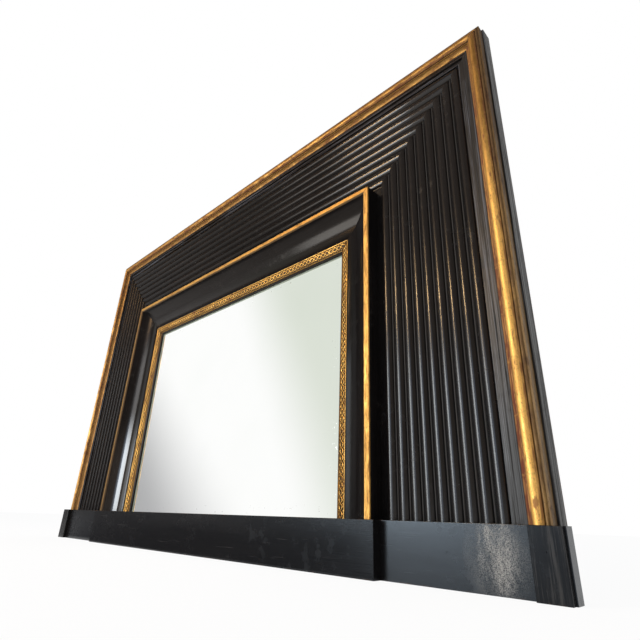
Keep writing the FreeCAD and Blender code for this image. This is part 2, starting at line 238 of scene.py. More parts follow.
class Bench:
    """A node tree that expressions are built in."""

    def __init__(self, tree, coordinates):
        self.tree = tree
        self.place = self.node("ShaderNodeTexCoord", output=coordinates)
        self.axes = {letter: self.node("ShaderNodeSeparateXYZ", inputs={0: self.place}, output=letter)
                     for letter in "XYZ"}

    def node(self, kind, settings=None, inputs=None, output=0):
        """Add a node of any type; settings are made first, then its sockets get values or links."""
        made = self.tree.nodes.new(kind)
        for name, value in (settings or {}).items():
            setattr(made, name, value)
        for key, value in (inputs or {}).items():
            self.feed(made.inputs[key], value)
        return None if output is None else Wire(self, made.outputs[output])

    def feed(self, socket, value):
        """Link a wire to a socket, or set the socket's value."""
        if isinstance(value, Wire):
            self.tree.links.new(value.socket, socket)
        elif socket.type == "RGBA" and len(value) == 3:
            socket.default_value = (*value, 1.0)
        else:
            socket.default_value = value

    def seen(self):
        """1 for rays from the camera, off polish or through glass, 0 for the rest."""
        kinds = [self.node("ShaderNodeLightPath", output=f"Is {kind} Ray")
                 for kind in ("Camera", "Glossy", "Transmission")]
        return kinds[0].larger(kinds[1]).larger(kinds[2])

    def stretched(self, stretch, shift=(0.0, 0.0, 0.0)):
        """The surface position scaled along each axis, then moved."""
        scaled = self.node("ShaderNodeVectorMath", {"operation": "MULTIPLY"}, {0: self.place, 1: stretch})
        return self.node("ShaderNodeVectorMath", {"operation": "ADD"}, {0: scaled, 1: shift})

    def noise(self, stretch, detail=4.0, roughness=0.55, shift=(0.0, 0.0, 0.0), distortion=0.0):
        """Fractal noise with features per metre along each axis given by stretch."""
        inputs = {"Vector": self.stretched(stretch, shift), "Scale": 1.0, "Detail": detail,
                  "Roughness": roughness, "Distortion": distortion}
        return self.node("ShaderNodeTexNoise", None, inputs)

    def cells(self, stretch, feature="F1", shift=(0.0, 0.0, 0.0)):
        """Distances in Voronoi cells with features per metre along each axis given by stretch."""
        inputs = {"Vector": self.stretched(stretch, shift), "Scale": 1.0}
        return self.node("ShaderNodeTexVoronoi", {"feature": feature}, inputs, "Distance")

    def blend(self, mask, first, second):
        """The first colour where the mask is 0 and the second where it is 1."""
        settings = {"data_type": "RGBA"}
        return self.node("ShaderNodeMix", settings, {0: mask, 6: first, 7: second}, 2)


def empty_bench(owner, coordinates="Object"):
    """A bench on the emptied node tree of a new material or world."""
    owner.use_nodes = True
    owner.node_tree.nodes.clear()
    return Bench(owner.node_tree, coordinates)


class Finish(Bench):
    """A surface finish under construction: one material, one Principled shader."""

    def __init__(self, name, **constants):
        self.material = bpy.data.materials.new(name)
        self.material.use_nodes = True
        super().__init__(self.material.node_tree, "Object")
        self.shader = self.tree.nodes["Principled BSDF"]
        for socket, value in constants.items():
            self.shader.inputs[socket.replace("_", " ")].default_value = value

    def set(self, socket, value):
        """Feed one socket of the Principled shader."""
        self.feed(self.shader.inputs[socket], value)

    def fed(self, socket):
        """The wire that feeds one socket of the Principled shader."""
        return Wire(self, self.shader.inputs[socket].links[0].from_socket)

    def inset(self, along):
        """Distance in from the frame's outer edge, across a member that runs along one axis."""
        if along == "Z":
            return BOARD[1][0] - abs(self.axes["X"])
        return BOARD_TOP[1][2] - self.axes["Z"]

    def bump(self, height, strength, distance, under=None):
        """A Bump node, laid over an earlier one if there is one."""
        inputs = {"Height": height, "Strength": strength, "Distance": distance}
        if under is not None:
            inputs["Normal"] = under
        return self.node("ShaderNodeBump", None, inputs)

    def spot(self, middle, radius, core=0.35):
        """1 inside a round spot on a front face, 0 outside, with a rim that starts at the core."""
        first = (self.axes["X"] - middle[0]) / radius[0]
        second = (self.axes["Z"] - middle[1]) / radius[1]
        return (first * first + second * second).rise(1.0, core)


def grain(along, fine, coarse):
    """Feature counts per metre for a grain that runs along one axis."""
    return tuple(coarse if letter == along else fine for letter in "XYZ")


# Settings

class MirrorFinishes(bpy.types.PropertyGroup):
    """Colours and wear of the mirror's surfaces."""

    ebony: bpy.props.FloatVectorProperty(
        name="Ebonised wood", description="Colour of the dark polish", subtype="COLOR",
        default=(0.0050, 0.0044, 0.0044), min=0.0, max=1.0)
    rubbed: bpy.props.FloatVectorProperty(
        name="Rubbed wood", description="Colour where the dark polish has rubbed thin", subtype="COLOR",
        default=(0.075, 0.043, 0.024), min=0.0, max=1.0)
    gold: bpy.props.FloatVectorProperty(
        name="Gold", description="Colour of the burnished gold leaf", subtype="COLOR",
        default=(0.92, 0.53, 0.14), min=0.0, max=1.0)
    # The dull gold is also laid where shade is painted on the gold.
    dull_gold: bpy.props.FloatVectorProperty(
        name="Dull gold", description="Colour of the dirty gold leaf", subtype="COLOR",
        default=(0.42, 0.23, 0.065), min=0.0, max=1.0)
    bole: bpy.props.FloatVectorProperty(
        name="Bole", description="Colour of the red clay under the gold", subtype="COLOR",
        default=(0.12, 0.022, 0.009), min=0.0, max=1.0)
    polish: bpy.props.FloatProperty(
        name="Polish", description="Strength of the dark polish's reflection",
        default=0.45, min=0.0, max=1.0, subtype="FACTOR")
    leaf_sheet: bpy.props.FloatProperty(
        name="Leaf sheet", description="Length of moulding that one sheet of gold leaf covers",
        default=0.075, min=0.02, max=0.2, unit="LENGTH")


class MirrorCarving(bpy.types.PropertyGroup):
    """Sizes of the carved band on the gilt slips."""

    pitch: bpy.props.FloatProperty(
        name="Pitch", description="Length of one leaf of the carved band",
        default=0.0115, min=0.004, max=0.05, unit="LENGTH")
    depth: bpy.props.FloatProperty(
        name="Depth", description="Depth of the carving below the plain slip",
        default=0.0026, min=0.0002, max=0.0035, unit="LENGTH")
    step: bpy.props.FloatProperty(
        name="Step", description="Distance between two rows of the carved mesh",
        default=0.0009, min=0.0004, max=0.005, unit="LENGTH")
    across: bpy.props.IntProperty(
        name="Points across", description="Number of mesh points across the slip",
        default=27, min=5, max=80, subtype="UNSIGNED")


class MirrorStudio(bpy.types.PropertyGroup):
    """Camera, floor and lamps."""

    eye: bpy.props.FloatVectorProperty(
        name="Eye", description="Place of the camera", subtype="TRANSLATION", unit="LENGTH",
        default=(0.944, -0.6367, 0.0758))
    turn: bpy.props.FloatProperty(
        name="Turn", description="Turn of the camera to the left of straight ahead",
        default=math.radians(44.112), subtype="ANGLE")
    tilt: bpy.props.FloatProperty(
        name="Tilt", description="Upward tilt of the camera",
        default=math.radians(23.406), subtype="ANGLE")
    roll: bpy.props.FloatProperty(
        name="Roll", description="Roll of the camera", default=math.radians(-2.206), subtype="ANGLE")
    focal: bpy.props.FloatProperty(
        name="Focal length", description="Focal length for a 36 mm wide sensor, in millimetres",
        default=26.04, min=10.0, max=200.0, unit="CAMERA")
    key_power: bpy.props.FloatProperty(
        name="Window light", description="Power of the low window-like lamp",
        default=46.0, min=0.0, unit="POWER")
    warm_power: bpy.props.FloatProperty(
        name="Warm light", description="Power of the higher warm lamp", default=26.0, min=0.0, unit="POWER")
    flag_tone: bpy.props.FloatVectorProperty(
        name="Dark card", description="Colour of the card that the plinth reflects", subtype="COLOR",
        default=(0.10, 0.105, 0.12), min=0.0, max=1.0)
    floor_tone: bpy.props.FloatVectorProperty(
        name="Floor", description="Colour of the floor and backdrop", subtype="COLOR",
        default=(0.95, 0.95, 0.95), min=0.0, max=1.0)


# Finishes

def mitre_line(finish):
    """A hairline where two members meet at the mitre."""
    off_line = abs(abs(finish.axes["X"]) - (finish.axes["Z"] - MITRE_RISE))
    return off_line.rise(0.9 * MM, 0.4 * MM)


def ebonised(name, along, roughness=0.21, reeds=False, polish=1.0, relief=1.0, light_tint=WHITE, coat=None):
    """Dark polished wood: brown-black grain, fine craze, dust, dark hairlines at the mitres and rubbed
    arrises.

    polish and relief are shares of the usual sheen and surface texture; the sheen's colour, given per piece,
    is painted light, tinged as by the lamps.
    coat names an axis, the two places along it where a fresher coat starts and is whole, and its weight.
    reeds adds the wear of a reeded board: rubbed crests, dull gaps, flats streaked with grain and painted
    sheen, a pale outer side, and painted shade in black lines along the step and beside the gilt.
    The back of every piece is bare wood.
    """
    look = bpy.context.scene.mirror_finishes
    finish = Finish(name, IOR=1.5, Specular_IOR_Level=look.polish * polish, Specular_Tint=light_tint + (1.0,),
                    Coat_IOR=1.8, Coat_Roughness=0.07)
    if coat is not None:
        axis, start, whole, weight = coat
        finish.set("Coat Weight", finish.axes[axis].rise(start, whole) * weight)
    fine = finish.noise(grain(along, 900.0, 14.0), detail=5.0, roughness=0.6)
    broad = finish.noise(grain(along, 26.0, 3.2), detail=4.0, shift=(3.1, 0.0, 1.7))
    cloud = finish.noise((9.0, 9.0, 9.0), detail=3.0, shift=(0.0, 5.0, 0.0))
    specks = finish.noise(grain(along, 420.0, 260.0), detail=2.0, roughness=0.7, shift=(7.7, 0.0, 0.0))
    dark = tuple(look.ebony)
    grained = tuple(2.3 * channel for channel in look.ebony)
    colour = finish.blend(fine.rise(0.35, 0.75) * 0.55 + broad.rise(0.45, 0.75) * 0.45, dark, grained)
    worn = specks.rise(0.66, 0.74) * cloud.rise(0.45, 0.7) * 0.35
    # Black marks: hairline cracks at the mitres, cracks in the grain of the flats, and painted shade lines
    # on the reeded boards.
    cracks_and_shade = mitre_line(finish) * 0.8
    rough = broad * 0.08 + roughness
    behind = finish.axes["Y"].rise(BOARD_BACK - 1.2 * MM, BOARD_BACK - 0.4 * MM)
    if reeds:
        across = finish.inset(along)
        turn = ((across - FIRST_REED) / REED_PITCH).part()
        field = across.band(FIRST_REED, LAST_REED, 0.5 * MM)
        crest = finish.axes["Y"].rise(REED_CROWN + 1.2 * MM, REED_CROWN + 0.1 * MM)
        worn = worn + field * crest * broad.rise(0.5, 0.72) * 0.3 * relief
        rubbed_line = turn.band(REED_SHARE + 0.035, REED_SHARE + 0.075, 0.012)
        worn = worn + field * rubbed_line * broad.rise(0.42, 0.6) * 0.8 * relief
        gap = field * turn.band(REED_SHARE, 1.0, 0.02)
        rough = rough + gap * 0.5 + across.rise(1.2 * MM, 0.4 * MM) * 0.3
        # Painted shade: black lines in the corner of the step and beside the gilt moulding, where shade
        # falls.
        cracks_and_shade = cracks_and_shade.larger(across.band(STEP - 0.7 * MM, STEP + 0.7 * MM, 0.25 * MM))
        cracks_and_shade = cracks_and_shade.larger(across.band(GILT_END, GILT_END + 0.5 * MM, 0.2 * MM))
        flats = across.rise(FIRST_REED, FIRST_REED - 1.0 * MM)
        rough = rough + flats * 0.22
        streak = finish.noise(grain(along, 520.0, 5.0), detail=4.0, roughness=0.7, shift=(0.0, 0.0, 4.0))
        # The grain streaks on the flats are painted in the blue-grey of a sheen: grain and painted sheen
        # together.
        colour = finish.blend(flats * streak.rise(0.53, 0.60) * 0.9, colour, FLAT_SHEEN_STREAK)
        side = across.rise(0.9 * MM, 0.4 * MM)
        colour = finish.blend(side * streak.rise(0.42, 0.58) * 0.6, colour, SIDE_STREAK)
        cracks_and_shade = cracks_and_shade.larger(flats * streak.rise(0.44, 0.38) * 0.9)
    colour = finish.blend(worn, colour, tuple(look.rubbed))
    dust = cloud.rise(0.42, 0.7) * finish.noise((55.0, 55.0, 55.0)).rise(0.5, 0.72)
    colour = finish.blend(dust * 0.12, colour, DUST)
    colour = finish.blend(cracks_and_shade, colour, CRACKS_AND_SHADE)
    bare = finish.blend(fine.rise(0.3, 0.75), BARE_WOOD, BARE_GRAIN)
    bare = finish.blend(broad.rise(0.45, 0.7) * 0.6, bare, BARE_STAIN)
    finish.set("Base Color", finish.blend(behind, colour, bare))
    finish.set("Roughness", rough + worn * 0.2 + dust * 0.16 + cracks_and_shade * 0.4 + behind * 0.6)
    craze = finish.cells(grain(along, 190.0, 46.0), "DISTANCE_TO_EDGE").rise(0.0, 0.045)
    first = finish.bump(fine, 0.13 * relief, 0.3 * MM)
    second = finish.bump(craze, 0.08 * relief, 0.12 * MM, first)
    finish.set("Normal", finish.bump(broad, 0.10, 1.2 * MM, second))
    return finish


def plinth_finish(name, wear=None, dents=(), polish=1.0, along="X"):
    """The plinth's polish: as the frame's, with a painted blue tinge in its sheen, scratches, nail dents,
    chips and a pale scuffed patch.

    wear is the patch's middle and its radii, and dents are (middle, radius) pairs, all in x and z. Upright
    grain gets pale streaks too.
    """
    # Painted light: a blue tinge in the plinth's sheen, as by the window light.
    finish = ebonised(name, along, polish=polish, light_tint=(0.74, 0.87, 1.0))
    look = bpy.context.scene.mirror_finishes
    colour, rough, relief = (finish.fed(socket) for socket in ("Base Color", "Roughness", "Normal"))
    scratch = finish.noise(grain(along, 700.0, 12.0), detail=2.0, shift=(1.0, 0.0, 9.0)).rise(0.70, 0.76)
    colour = finish.blend(scratch * 0.30, colour, SCRATCH)
    rough = rough + scratch * 0.1
    if along == "Z":
        streaks = finish.noise(grain(along, 300.0, 9.0), detail=5.0, roughness=0.75, shift=(0.0, 3.0, 0.0))
        colour = finish.blend(streaks.rise(0.46, 0.64) * 0.5, colour, END_STREAK)
        rough = rough + streaks.rise(0.5, 0.7) * 0.25
    if wear is not None:
        grit = finish.noise((760.0, 760.0, 760.0), detail=3.0, roughness=0.8)
        smear = finish.noise((40.0, 40.0, 17.0), detail=7.0, roughness=0.7, distortion=0.35)
        middle, radius = wear
        patch = finish.spot(middle, radius, core=0.0) * (grit * 0.6 + smear * 0.4).rise(0.43, 0.60)
        colour = finish.blend(patch * 0.75, colour, SCUFF)
        core = finish.spot(middle, (0.6 * radius[0], radius[1]), core=0.2)
        core = core * smear.rise(0.40, 0.62) * grit.rise(0.42, 0.60)
        colour = finish.blend(core * 0.8, colour, SCUFF_CORE)
        rough = rough + patch.larger(core) * 0.3
    if dents:
        pits = [finish.spot(place, (radius, radius)) for place, radius in dents]
        every = pits[0]
        for pit in pits[1:]:
            every = every.larger(pit)
        colour = finish.blend(every * 0.9, colour, DENT)
        relief = finish.bump(1 - every, 0.8, 0.8 * MM, relief)
    base = SECTION[0][2]
    edge = finish.axes["Z"].rise(PLINTH_TOP - 1.6 * MM, PLINTH_TOP - 0.3 * MM)
    edge = edge.larger(finish.axes["Z"].rise(base + 2.0 * MM, base + 0.3 * MM))
    chip = finish.noise((90.0, 60.0, 60.0), detail=3.0, shift=(2.0, 4.0, 0.0)).rise(0.5, 0.66)
    colour = finish.blend(edge * chip * 0.55, colour, tuple(look.rubbed))
    finish.set("Base Color", colour)
    finish.set("Roughness", rough)
    finish.set("Normal", relief)
    return finish


def gilded(name, along, moulded=False, worn=0.5, relief=None, side_dirt_and_shade=0.0, rubbed_from=None, matt=0.37,
           red=0.12, metal=LEAF_METAL, tarnish=0.1):
    """Water gilding: sheets of leaf over red bole, rubbed on the high places, dirty and painted with shade
    in the low ones.

    moulded makes the bead, the torus and the small cove dirty and worn, and paints shade in the quirks, the
    small cove and at the gilt's inner edge; worn is how far the wear reaches. relief names the attribute
    that holds a carving's recesses, which are made dirty and painted with shade. soiled adds extra dirtiness
    all over and painted light and shade set per side; matt is the roughness and metal the metallic share of
    clean leaf, red the bole laid bare in the small cove and tarnish the darkness of the bead; rubbed_from is
    the inset at which a flat fillet has lost its leaf.
    """
    look = bpy.context.scene.mirror_finishes
    finish = Finish(name, IOR=1.45)
    gold = tuple(look.gold)
    dull = tuple(look.dull_gold)
    sheet = finish.axes[along] / look.leaf_sheet + finish.noise((30.0, 30.0, 30.0), detail=2.0) * 0.25
    tone = finish.node("ShaderNodeTexWhiteNoise", {"noise_dimensions": "1D"}, {"W": sheet.whole()})
    lap = abs(sheet.part() - 0.5).rise(0.47, 0.495)
    cloud = finish.noise(grain(along, 60.0, 9.0), detail=4.0, shift=(0.0, 2.0, 0.0))
    specks = finish.noise(grain(along, 620.0, 300.0), detail=3.0, roughness=0.7, shift=(4.0, 0.0, 0.0))
    smudge = finish.noise(grain(along, 150.0, 34.0), detail=4.0, roughness=0.65, shift=(0.0, 0.0, 6.0))
    # Grime and dull patches, with painted light and shade added for each side.
    dirt_and_shade = cloud.rise(0.42, 0.68) * 0.5 + tone * 0.2 + smudge.rise(0.40, 0.62) * 0.3 + side_dirt_and_shade
    grime = finish.noise(grain(along, 330.0, 60.0), detail=6.0, roughness=0.75, shift=(9.0, 0.0, 3.0))
    grime = grime.rise(0.48, 0.62) * (0.38 + 0.4 * side_dirt_and_shade)
    bole = smudge.rise(0.60 - 0.05 * worn, 0.70 - 0.05 * worn) * 0.7
    bole = bole.larger(specks.rise(0.61, 0.68) * 0.8)
    bare = mitre_line(finish)
    shine = metal
    if rubbed_from is not None:
        bare = bare.larger(finish.inset(along).rise(rubbed_from - 0.6 * MM, rubbed_from + 0.9 * MM) * 0.85)
    if moulded:
        height = finish.axes["Z"]
        across = finish.inset(along)
        # The moulding turns duller towards the top.
        dirt_and_shade = dirt_and_shade + height.rise(0.42, 0.80) * (0.6 - min(side_dirt_and_shade, 0.0))
        bead = across.band(OUTER_LIST, BEAD, 0.5 * MM)
        hollow = across.rise(INNER_LIST - 0.6 * MM, INNER_LIST + 0.8 * MM)
        lit_list = across.band(GILT_END - 2.9 * MM, GILT_END - 1.5 * MM, 0.2 * MM)
        # Painted shade: the quirks by the bead and at the torus's foot are darkened, where shade falls.
        quirk = across.band(BEAD - 0.7 * MM, BEAD + 0.6 * MM, 0.4 * MM)
        quirk = quirk.larger(across.band(TORUS_FOOT - 0.6 * MM, TORUS_FOOT + 0.3 * MM, 0.4 * MM))
        # The small cove gets grime and painted shade; its lit list is left lighter.
        hollow = hollow * (1 - lit_list * (0.9 - red))
        dirt_and_shade = dirt_and_shade + bead * 0.5 + hollow * 0.8 + quirk * 0.6
        bole = bole.larger(bead * smudge.rise(0.36, 0.58) * (0.85 - red))
        bole = bole.larger(hollow * (red + smudge.rise(0.42, 0.6) * 0.4))
        reach = (1.4 + 2.2 * worn) * MM
        flank = across.band(BEAD, BEAD + reach, 0.8 * MM).larger(
            across.band(TORUS_FOOT - reach, TORUS_FOOT, 0.8 * MM))
        # Grime grows heavier towards the top.
        grime = grime * (1 + height.rise(0.40, 0.85) * 0.8)
        bole = bole.larger(flank * (0.35 + smudge.rise(0.38, 0.56) * 0.4))
        foot = across.rise(TORUS_FOOT - 1.5 * MM, TORUS_FOOT + 0.5 * MM) * min(1.8 * red, 1.0)
        foot = foot * (1 - height.rise(0.40, 0.70) * 0.65)
        bole = bole.larger(foot * (0.72 + smudge.rise(0.44, 0.56) * 0.28))
        bare = bare.larger(across.rise(BEAD + 0.4 * MM, BEAD - 0.2 * MM) * tarnish)
        bare = bare.larger(across.rise(OUTER_LIST + 0.3 * MM, OUTER_LIST - 0.2 * MM) * 0.84)
        shine = height.rise(0.5, 0.85) * (LEAF_METAL - metal) + metal
        # Painted shade: near-black in the quirks and at the gilt's inner edge beside the board.
        bare = bare.larger(quirk * 0.75).larger(across.rise(GILT_END - 0.9 * MM, GILT_END - 0.5 * MM) * 0.8)
    if relief is not None:
        recess = finish.node("ShaderNodeAttribute", {"attribute_name": relief}, output="Fac")
        # The carving's recesses are made dull and, where deepest, near-black: grime and painted shade.
        dirt_and_shade = dirt_and_shade + recess * 0.5
        bare = bare.larger(recess.rise(0.3, 0.8) * 0.95)
    dirt_and_shade = finish.node("ShaderNodeClamp", None, {0: dirt_and_shade})
    colour = finish.blend(dirt_and_shade, gold, dull)
    colour = finish.blend(grime, colour, GRIME)
    colour = finish.blend(bole, colour, tuple(look.bole))
    colour = finish.blend(lap * 0.35, colour, tuple(0.5 * channel for channel in look.gold))
    finish.set("Base Color", finish.blend(bare, colour, GESSO_AND_SHADE))
    finish.set("Metallic", shine * (1 - bole.larger(bare) * 0.93))
    finish.set("Roughness", matt + dirt_and_shade * 0.1 + grime * 0.15 + bole * 0.2 - smudge.rise(0.5, 0.35) * 0.12)
    crack = finish.cells(grain(along, 36.0, 120.0), "DISTANCE_TO_EDGE", shift=(0.0, 0.0, 2.0))
    wrinkle = finish.noise((520.0, 520.0, 520.0), detail=3.0)
    first = finish.bump(wrinkle, 0.22, 0.25 * MM)
    second = finish.bump(crack.rise(0.0, 0.03), 0.14, 0.2 * MM, first)
    finish.set("Normal", finish.bump(smudge, 0.18, 0.5 * MM, second))
    return finish


def silvered():
    """Old silvered plate: near-clear, foxed near its edge, with a painted grey-green band of the slips'
    shade along its left and top edges.
    """
    finish = Finish("silvered_plate", IOR=1.5)
    half = PLATE[1][0]
    side = abs(finish.axes["X"]).rise(half - 60 * MM, half - 6 * MM)
    ends = finish.axes["Z"].rise(PLATE[1][2] - 55 * MM, PLATE[1][2] - 6 * MM)
    foot = finish.axes["Z"].rise(PLATE[0][2] + 30 * MM, PLATE[0][2] + 1 * MM)
    rim = side.larger(ends).larger(foot)
    blot = finish.noise((120.0, 120.0, 120.0), detail=5.0, roughness=0.7)
    fox = rim * blot.rise(0.64, 0.70)
    haze = finish.noise((5.0, 5.0, 5.0), detail=3.0).rise(0.3, 0.8)
    clear = finish.blend(haze, CLEAR, HAZE)
    # Painted shade and reflection: a grey-green, less metallic band along the left and top edges, where the
    # slips' shade shows through the glass.
    edge = finish.axes["X"].rise(SIGHT_X + 9 * MM, SIGHT_X + 7.5 * MM)
    edge = edge.larger(finish.axes["Z"].rise(SIGHT_Z - 5.5 * MM, SIGHT_Z - 4.5 * MM))
    clear = finish.blend(edge, clear, PAINTED_EDGE_SHADE)
    finish.set("Base Color", finish.blend(fox * 0.7, clear, FOXING))
    finish.set("Metallic", 1 - fox * 0.5 - edge * 0.6)
    finish.set("Roughness", 0.012 + fox * 0.3 + blot.rise(0.66, 0.8) * 0.02)
    return finish


def softwood(name, along, shift=0.0, joints=()):
    """Old pine: growth bands, a few knots, saw marks and brown grime, with grime and painted shade darkest
    beside the upright joints.
    """
    finish = Finish(name, IOR=1.45, Specular_IOR_Level=0.25)
    offset = (shift, 0.3 * shift, 0.7 * shift)
    bend = finish.noise(grain(along, 7.0, 1.1), detail=2.0, shift=offset) * 9.0
    across = {"X": "Z", "Z": "X"}[along]
    bands = (finish.axes[across] * 60.0 + bend).part()
    bands = abs(bands - 0.5) * 2.0
    fibre = finish.noise(grain(along, 700.0, 9.0), detail=5.0, shift=offset)
    knots = finish.cells(grain(along, 9.0, 3.0), shift=offset).rise(0.13, 0.03)
    stain = finish.noise((5.0, 5.0, 5.0), detail=4.0, shift=offset)
    colour = finish.blend(bands.rise(0.25, 0.95) * 0.7, PINE, PINE_BAND)
    colour = finish.blend(fibre.rise(0.4, 0.8) * 0.5, colour, PINE_FIBRE)
    colour = finish.blend(knots * 0.85, colour, PINE_KNOT)
    colour = finish.blend(stain.rise(0.45, 0.75) * 0.6, colour, PINE_STAIN)
    for place in joints:
        seam = abs(finish.axes["X"] - place)
        # Grime and painted shade beside each joint; the gap itself is dark.
        colour = finish.blend(seam.rise(7.0 * MM, 0.5 * MM) * 0.5, colour, SEAM_DIRT_AND_SHADE)
        colour = finish.blend(seam.rise(1.3 * MM, 0.7 * MM), colour, SEAM_GAP)
    finish.set("Base Color", colour)
    finish.set("Roughness", 0.72 + fibre * 0.16)
    saw = finish.noise(grain(along, 3.0, 320.0), detail=2.0, shift=offset)
    first = finish.bump(saw, 0.12, 0.4 * MM)
    finish.set("Normal", finish.bump(fibre - bands * 0.3, 0.3, 0.5 * MM, first))
    return finish


def old_metal(name, bright, dull, metallic=1.0):
    """Handled metal: a dull film broken by brighter rubbed places and fine scratches."""
    finish = Finish(name)
    film = finish.noise((160.0, 160.0, 160.0), detail=5.0, roughness=0.65)
    scratch = finish.noise((900.0, 900.0, 60.0), detail=2.0)
    finish.set("Base Color", finish.blend(film.rise(0.4, 0.62), bright, dull))
    finish.set("Metallic", metallic - film.rise(0.55, 0.7) * 0.35)
    finish.set("Roughness", 0.3 + film * 0.28 + scratch * 0.1)
    finish.set("Normal", finish.bump(scratch + film, 0.18, 0.1 * MM))
    return finish


def named(*starts):
    """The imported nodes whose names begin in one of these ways."""
    return [name for name in NODES if name.startswith(starts)]


def dress(nodes, finish):
    """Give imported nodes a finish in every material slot."""
    for name in nodes:
        slots = NODES[name].material_slots
        if not slots:
            raise RuntimeError(f"{name} has no material slot")
        for slot in slots:
            slot.material = finish.material


# Mesh making

def make_piece(name, points, faces, finish, crease):
    """A mesh object that rides with the mirror, smooth apart from its creases."""
    mesh = bpy.data.meshes.new(name)
    mesh.from_pydata(points, [], faces)
    mesh.validate()
    mesh.materials.append(finish.material)
    mesh.polygons.foreach_set("use_smooth", [True] * len(mesh.polygons))
    mesh.set_sharp_from_angle(angle=math.radians(crease))
    piece = bpy.data.objects.new(name, mesh)
    bpy.context.scene.collection.objects.link(piece)
    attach(piece, BODY)
    return piece


def skin(rows):
    """Faces of a closed tube through equal rows of points, with both ends capped."""
    count = len(rows[0])
    faces = []
    for row in range(len(rows) - 1):
        base = row * count
        for index in range(count):
            following = (index + 1) % count
            faces.append((base + index, base + following, base + count + following, base + count + index))
    last = (len(rows) - 1) * count
    faces.append(tuple(range(count - 1, -1, -1)))
    faces.append(tuple(range(last, last + count)))
    return faces


def lobe(distance, half_width):
    """A rounded ridge: 1 on its line, 0 at its half width and beyond."""
    share = distance / half_width
    return math.sqrt(max(0.0, 1.0 - share * share))


def carving_height(across, along, pitch):
    """Height share of the carved band: two crossing ribbons of leaves with an eye in each loop.

    across runs from -1 on the inner edge to 1 on the outer edge, along in metres.
    """
    rims = [lobe(across - place, half) for place, half in (OUTER_RIM, INNER_RIM)]
    turn = math.pi * along / pitch
    swing = RIBBON_SWING * math.sin(turn)
    middle = across - RIBBON_MIDDLE
    notch = 1.0 - RIBBON_NOTCH * abs(math.cos(3.0 * turn))
    first = lobe(middle - swing, RIBBON_HALF * notch)
    second = lobe(middle + swing, RIBBON_HALF * notch)
    weave = 0.5 + 0.5 * math.cos(turn)
    ribbons = max(first * (RIBBON_LOW + RIBBON_DIP * weave), second * (1.0 - RIBBON_DIP * weave))
    eye_place = (along / pitch) % 1.0 - 0.5
    eye = lobe(math.hypot(middle, eye_place * 1.25), EYE_HALF) * EYE_HEIGHT
    tip_place = eye_place - math.copysign(0.5, eye_place)
    leaf_tip = lobe(math.hypot((abs(middle) - TIP_PLACE) * 1.1, tip_place), TIP_HALF) * TIP_HEIGHT
    return max(*rims, ribbons, eye, leaf_tip)


class SlipSection:
    """The plain section of a leaf slip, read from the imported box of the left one."""

    def __init__(self):
        low, high = LEAF_LEFT
        self.outer = -low[0]
        self.inner = -high[0]
        self.front = low[1]
        self.back = high[1]
        self.width = self.outer - self.inner
        self.lean = math.atan2(SLIP_DROP, self.width)
        self.chord = math.hypot(self.width, SLIP_DROP)
        self.radius = (self.chord * self.chord / 4 + SLIP_SWELL * SLIP_SWELL) / (2 * SLIP_SWELL)
        shares = [index / RIM_STEPS for index in range(RIM_STEPS + 1)]
        # How far the outer edge lies behind the frontmost point
        self.rim = max(self.bulge(share) * math.cos(self.lean) - SLIP_DROP * share for share in shares)

    def bulge(self, share):
        """How far the surface stands off its chord at a share of the way in."""
        run = (share - 0.5) * self.chord
        return math.sqrt(self.radius ** 2 - run ** 2) - (self.radius - SLIP_SWELL)

    def point(self, share):
        """Distance from the frame's middle, and depth, of the surface at a share of the way in."""
        bulge = self.bulge(share)
        distance = self.outer - self.width * share - bulge * math.sin(self.lean)
        depth = self.front + self.rim + SLIP_DROP * share - bulge * math.cos(self.lean)
        return distance, depth


def slip_rows(section, carving, place, length, limit):
    """Rows of points along a slip, and each point's share of the carving's depth.

    place puts (distance, depth, along) in space, and limit keeps along inside the mitre.
    """
    count = carving.across
    rows = []
    recess = []
    total = int(length / carving.step)
    for row in range(total + 1):
        start = length * row / total
        ring = []
        for index in range(count):
            share = index / (count - 1)
            distance, depth = section.point(share)
            along = limit(start, distance)
            height = carving_height(1.0 - 2.0 * share, along, carving.pitch)
            ring.append(place(distance, depth + (1.0 - height) * carving.depth, along))
            recess.append(1.0 - height)
        for distance in (section.inner, section.outer):
            ring.append(place(distance, section.back, limit(start, distance)))
            recess.append(1.0)
        rows.append(ring)
    return rows, recess


def carve_slip(name, rows, recess, finish, node):
    """Build one carved slip in place of its plain node, with its recesses stored for the grime and painted
    shade laid in them.
    """
    points = [point for row in rows for point in row]
    piece = make_piece(name, points, skin(rows), finish, crease=50.0)
    layer = piece.data.attributes.new("recess", "FLOAT", "POINT")
    layer.data.foreach_set("value", recess)
    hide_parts(node)


# Operators

